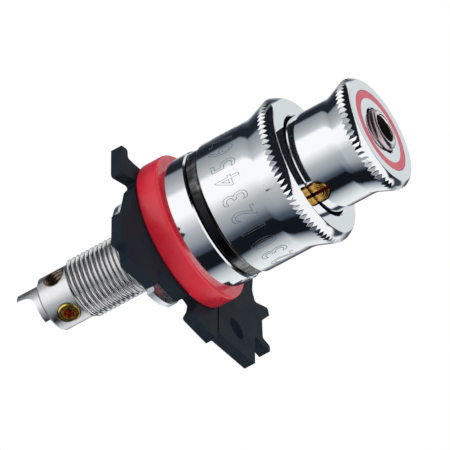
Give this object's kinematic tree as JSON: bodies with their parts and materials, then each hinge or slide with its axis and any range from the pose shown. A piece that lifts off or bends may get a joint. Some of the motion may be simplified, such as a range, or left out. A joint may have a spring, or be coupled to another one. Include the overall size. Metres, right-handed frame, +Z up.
{
  "type": "panel binding post",
  "caption": "Chromed panel binding post with a knurled clamp nut, a plug socket in its cap, a black gauge plate and a rear clamp tube.",
  "frame": {"origin": "centre of the gauge plate's rear face, where it seats on the panel, on the post's axis", "axes": "-Y out of the panel along the post towards the plug socket, +Y behind the panel, +Z up, with the plate's foot down"},
  "size_m": [0.0329, 0.0593, 0.0373],
  "materials": {
    "black_plastic": "satin",
    "red_plastic": "gloss",
    "chrome": "polished",
    "nickel": "bright nickel",
    "brass": "bright",
    "smoked_metal": "dark satin",
    "rose_chrome": "polished"
  },
  "bodies": {
    "post": {"gauge_plate": "black_plastic", "insulating_flange": "red_plastic", "base_post": "chrome", "threaded_sleeve": "nickel", "rear_conductor": "nickel", "stop_ring": "nickel"},
    "ring": {"pressure_ring": "smoked_metal", "spring_disc": "nickel"},
    "nut": {"clamp_nut": "chrome"},
    "socket": {"socket_tube": "rose_chrome"},
    "knob": {"cap": "chrome", "inlay_ring": "red_plastic"},
    "locking_screw": {"lock_screw": "brass"},
    "side_screw": {"side_clamp_screw": "brass"},
    "back_nut": {"fixing_nut": "nickel"}
  },
  "joints": [
    {"name": "ring_slide", "type": "slide", "parent": "post", "child": "ring", "axis": [0, -1, 0], "range_m": [0, 0.0046]},
    {"name": "nut_turn", "type": "hinge", "parent": "ring", "child": "nut", "pos_m": [0, 0, 0], "axis": [0, -1, 0], "range_deg": [0, 1660]},
    {"name": "socket_slide", "type": "slide", "parent": "post", "child": "socket", "axis": [0, -1, 0], "range_m": [0, 0.001]},
    {"name": "cap_turn", "type": "hinge", "parent": "socket", "child": "knob", "pos_m": [0, 0, 0], "axis": [0, -1, 0], "range_deg": [0, 365]},
    {"name": "lock_screw_drive", "type": "slide", "parent": "knob", "child": "locking_screw", "axis": [0.9986, 0, -0.0523], "range_m": [0, 0.0003]},
    {"name": "side_screw_drive", "type": "slide", "parent": "post", "child": "side_screw", "axis": [1, 0, 0], "range_m": [0, 0.001]},
    {"name": "fixing_nut_drive", "type": "slide", "parent": "post", "child": "back_nut", "axis": [0, 1, 0], "range_m": [-0.0006, 0.0095]}
  ],
  "couplings": [
    {"joint": "nut_turn", "follows": "ring_slide", "rad_per_m": 6283.2},
    {"joint": "cap_turn", "follows": "socket_slide", "rad_per_m": 6283.2}
  ]
}
